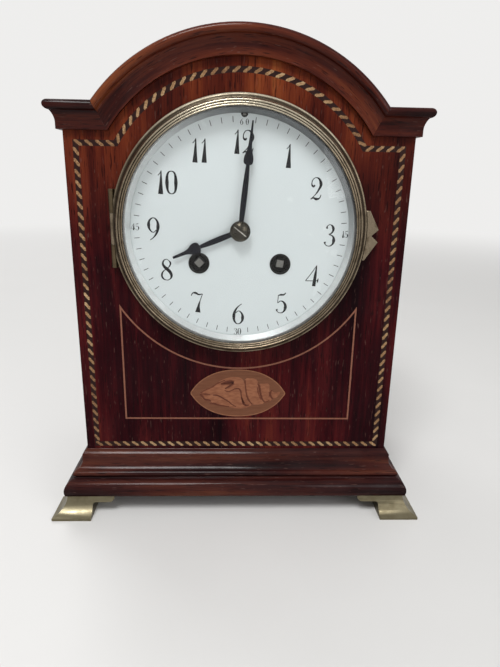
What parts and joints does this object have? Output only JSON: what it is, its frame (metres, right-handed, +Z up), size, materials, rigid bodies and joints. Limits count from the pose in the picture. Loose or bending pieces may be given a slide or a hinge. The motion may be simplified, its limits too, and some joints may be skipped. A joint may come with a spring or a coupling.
{
  "type": "mantel clock",
  "caption": "Arch-top mantel clock with an inlaid wooden case, a hinged round bezel and glass, a striking pendulum movement, a hinged back door and cast bracket feet.",
  "frame": {"origin": "on the floor under the middle of the bounding box, all joints at 0", "axes": "+Z up, the dial faces -Y, +X to the right of someone facing the dial"},
  "size_m": [0.2378, 0.1484, 0.291],
  "materials": {
    "mahogany": "red-brown veneer, polished",
    "dark_mahogany": "dark polished wood",
    "carcass_wood": "plain sawn softwood",
    "rope_inlay": "light and dark twist, polished",
    "line_inlay": "boxwood line, polished",
    "patera_inlay": "shaded veneer, polished",
    "bright_brass": "polished cast brass",
    "antique_brass": "aged turned brass",
    "nickel": "silvered plate",
    "clear_glass": "clear, polished",
    "enamel": "white enamel with black figures",
    "blued_steel": "blued",
    "steel": "bright steel",
    "movement_brass": "lacquered brass"
  },
  "bodies": {
    "case": {"front_panel": "mahogany", "back_panel": "dark_mahogany", "left_side": "mahogany", "right_side": "mahogany", "roof_panel": "mahogany", "base_board": "carcass_wood", "cornice_arch": "mahogany", "cornice_left": "mahogany", "cornice_right": "mahogany", "base_moulding": "mahogany", "plinth": "dark_mahogany", "rope_stringing": "rope_inlay", "line_stringing": "line_inlay", "shell_patera": "patera_inlay", "front_feet": "bright_brass", "rear_feet": "bright_brass", "foot_screws": "steel", "bezel_seat_ring": "antique_brass", "hinge_pins": "steel", "dial": "enamel", "winding_hole_bushes": "antique_brass", "front_plate": "movement_brass", "back_plate": "movement_brass", "plate_pillars": "movement_brass", "movement_screws": "steel", "movement_straps": "movement_brass", "suspension_cock": "movement_brass", "gong": "blued_steel", "gong_block": "carcass_wood", "back_ring": "antique_brass"},
    "bezel_door": {"bezel_ring": "antique_brass", "sight_ring": "nickel", "bezel_glass": "clear_glass", "bezel_pull_tab": "antique_brass"},
    "rear_door": {"back_door": "antique_brass", "back_door_knob": "antique_brass"},
    "centre_arbor": {"centre_wheel": "movement_brass", "minute_hand": "blued_steel", "hand_collet": "nickel"},
    "hour_pipe": {"hour_wheel": "movement_brass", "hour_hand": "blued_steel"},
    "motion_wheel": {"minute_wheel": "movement_brass"},
    "going_drum": {"going_barrel": "movement_brass", "going_mainspring": "steel"},
    "intermediate_arbor": {"intermediate_wheel": "movement_brass"},
    "third_arbor": {"third_wheel": "movement_brass"},
    "escape_arbor": {"escape_wheel": "movement_brass"},
    "pendulum": {"pallet_anchor": "steel", "pendulum_rod": "steel", "pendulum_bob": "movement_brass"},
    "going_winder": {"going_winding_arbor": "steel"},
    "strike_winder": {"strike_winding_arbor": "steel"},
    "strike_drum": {"strike_barrel": "movement_brass", "strike_mainspring": "steel"},
    "strike_second_arbor": {"strike_second_wheel": "movement_brass"},
    "pin_arbor": {"pin_wheel": "movement_brass"},
    "warning_arbor": {"warning_wheel": "movement_brass"},
    "fly_arbor": {"fly": "steel"},
    "hammer_arbor": {"hammer": "steel"},
    "regulator": {"regulator_arbor": "steel"}
  },
  "joints": [
    {"name": "bezel_hinge", "type": "hinge", "parent": "case", "child": "bezel_door", "pos_m": [-0.0731, -0.056, 0.184], "axis": [0, 0, -1], "range_deg": [0, 110]},
    {"name": "back_door_hinge", "type": "hinge", "parent": "case", "child": "rear_door", "pos_m": [0.0731, 0.0686, 0.184], "axis": [0, 0, -1], "range_deg": [0, 110]},
    {"name": "minute_hand_turn", "type": "hinge", "parent": "case", "child": "centre_arbor", "pos_m": [0, -0.0257, 0.184], "axis": [0, 1, 0], "continuous": true},
    {"name": "hour_hand_turn", "type": "hinge", "parent": "case", "child": "hour_pipe", "pos_m": [0, -0.0507, 0.184], "axis": [0, 1, 0], "continuous": true},
    {"name": "minute_wheel_turn", "type": "hinge", "parent": "case", "child": "motion_wheel", "pos_m": [0, -0.0477, 0.198], "axis": [0, 1, 0], "continuous": true},
    {"name": "going_barrel_turn", "type": "hinge", "parent": "case", "child": "going_drum", "pos_m": [0.0241, -0.0257, 0.1646], "axis": [0, 1, 0], "continuous": true},
    {"name": "intermediate_turn", "type": "hinge", "parent": "case", "child": "intermediate_arbor", "pos_m": [0.01866, -0.0257, 0.18818], "axis": [0, 1, 0], "continuous": true},
    {"name": "third_turn", "type": "hinge", "parent": "case", "child": "third_arbor", "pos_m": [0.00471, -0.0257, 0.20158], "axis": [0, 1, 0], "continuous": true},
    {"name": "escape_turn", "type": "hinge", "parent": "case", "child": "escape_arbor", "pos_m": [0, -0.0257, 0.21683], "axis": [0, 1, 0], "continuous": true},
    {"name": "pendulum_swing", "type": "hinge", "parent": "case", "child": "pendulum", "pos_m": [0, -0.0257, 0.22883], "axis": [0, 1, 0], "range_deg": [-3.5, 3.5]},
    {"name": "going_winding_turn", "type": "hinge", "parent": "case", "child": "going_winder", "pos_m": [0.0241, -0.0257, 0.1646], "axis": [0, 1, 0], "continuous": true},
    {"name": "strike_winding_turn", "type": "hinge", "parent": "case", "child": "strike_winder", "pos_m": [-0.0241, -0.0257, 0.1646], "axis": [0, 1, 0], "continuous": true},
    {"name": "strike_barrel_turn", "type": "hinge", "parent": "case", "child": "strike_drum", "pos_m": [-0.0241, -0.0257, 0.1646], "axis": [0, 1, 0], "continuous": true},
    {"name": "strike_second_turn", "type": "hinge", "parent": "case", "child": "strike_second_arbor", "pos_m": [-0.021, -0.0257, 0.1886], "axis": [0, 1, 0], "continuous": true},
    {"name": "pin_wheel_turn", "type": "hinge", "parent": "case", "child": "pin_arbor", "pos_m": [-0.02165, -0.0257, 0.20704], "axis": [0, 1, 0], "continuous": true},
    {"name": "warning_turn", "type": "hinge", "parent": "case", "child": "warning_arbor", "pos_m": [-0.01451, -0.0257, 0.21941], "axis": [0, 1, 0], "continuous": true},
    {"name": "fly_turn", "type": "hinge", "parent": "case", "child": "fly_arbor", "pos_m": [-0.02567, -0.0257, 0.22138], "axis": [0, 1, 0], "continuous": true},
    {"name": "hammer_lift", "type": "hinge", "parent": "case", "child": "hammer_arbor", "pos_m": [-0.044, -0.0257, 0.192], "axis": [0, 1, 0], "range_deg": [0, 8], "stiffness_Nm_per_rad": 0.02, "springref_deg": -5.73},
    {"name": "regulator_turn", "type": "hinge", "parent": "case", "child": "regulator", "pos_m": [0.0017, -0.0257, 0.2475], "axis": [0, 1, 0], "range_deg": [-360, 360]}
  ],
  "couplings": [
    {"joint": "hour_hand_turn", "follows": "minute_hand_turn", "ratio": 0.083333},
    {"joint": "minute_wheel_turn", "follows": "minute_hand_turn", "ratio": -0.33333},
    {"joint": "intermediate_turn", "follows": "minute_hand_turn", "ratio": -0.13333},
    {"joint": "going_barrel_turn", "follows": "minute_hand_turn", "ratio": 0.017094},
    {"joint": "third_turn", "follows": "minute_hand_turn", "ratio": -12},
    {"joint": "escape_turn", "follows": "minute_hand_turn", "ratio": 132},
    {"joint": "strike_second_turn", "follows": "pin_wheel_turn", "ratio": -0.13889},
    {"joint": "strike_barrel_turn", "follows": "pin_wheel_turn", "ratio": 0.017806},
    {"joint": "warning_turn", "follows": "pin_wheel_turn", "ratio": -7.5},
    {"joint": "fly_turn", "follows": "pin_wheel_turn", "ratio": 60}
  ]
}
